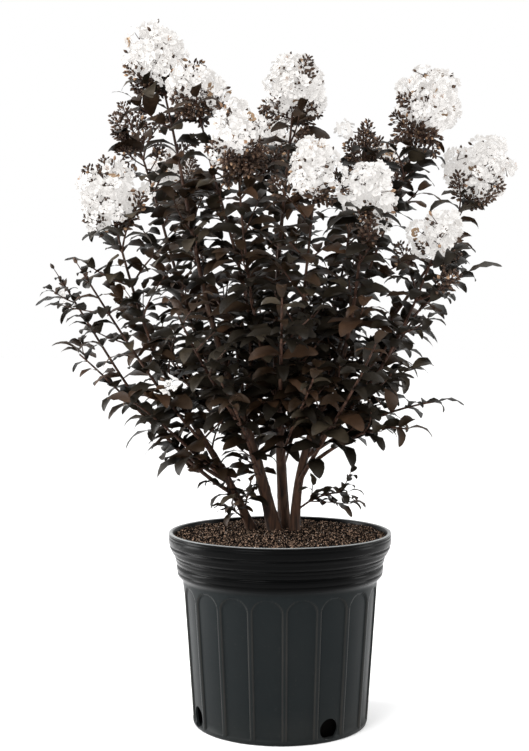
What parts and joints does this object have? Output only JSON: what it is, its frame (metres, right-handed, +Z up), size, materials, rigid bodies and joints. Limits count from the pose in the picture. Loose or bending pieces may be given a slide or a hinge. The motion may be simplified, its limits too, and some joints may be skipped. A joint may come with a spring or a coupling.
{
  "type": "potted crape myrtle",
  "caption": "Upright multi-stemmed flowering shrub with dark leaves and white blossom, in a round fluted nursery pot.",
  "frame": {"origin": "centre of the pot's flat underside, on the ground", "axes": "+Z up along the stems, -Y towards the front, +X to the right seen from the front"},
  "size_m": [0.6098, 0.5295, 0.8643],
  "materials": {
    "pot_plastic": "satin",
    "potting_mix": "matte",
    "bark": "matte",
    "foliage": "satin",
    "blossom": "matte"
  },
  "bodies": {
    "root": {"bough_back_centre": "bark", "bough_back_left": "bark", "bough_back_right": "bark", "bough_centre_front": "bark", "bough_centre_left": "bark", "bough_centre_right": "bark", "bough_centre_top": "bark", "bough_far_right": "bark", "bough_left_bloom": "bark", "bough_left_buds": "bark", "bough_low_bloom": "bark", "bough_mid_right": "bark", "bough_right_buds": "bark", "bough_top_left": "bark", "bough_top_right": "bark", "bough_upper_left": "bark", "foliage_back_centre": "foliage", "foliage_back_left": "foliage", "foliage_back_low": "foliage", "foliage_back_low_left": "foliage", "foliage_back_low_right": "foliage", "foliage_back_right": "foliage", "foliage_centre_front": "foliage", "foliage_centre_left": "foliage", "foliage_centre_right": "foliage", "foliage_centre_top": "foliage", "foliage_droop_right": "foliage", "foliage_far_left": "foliage", "foliage_far_right": "foliage", "foliage_foot_right": "foliage", "foliage_front_low": "foliage", "foliage_front_low_left": "foliage", "foliage_front_low_right": "foliage", "foliage_left_bloom": "foliage", "foliage_left_buds": "foliage", "foliage_low_bloom": "foliage", "foliage_low_right": "foliage", "foliage_mid_left": "foliage", "foliage_mid_right": "foliage", "foliage_right_buds": "foliage", "foliage_side_low_left": "foliage", "foliage_skirt_back": "foliage", "foliage_skirt_front": "foliage", "foliage_skirt_left": "foliage", "foliage_top_left": "foliage", "foliage_top_right": "foliage", "foliage_upper_left": "foliage", "pot": "pot_plastic", "soil": "potting_mix", "stem_back": "bark", "stem_back_left": "bark", "stem_back_right": "bark", "stem_centre": "bark", "stem_left": "bark", "stem_main": "bark", "stem_right": "bark"}
  },
  "joints": []
}
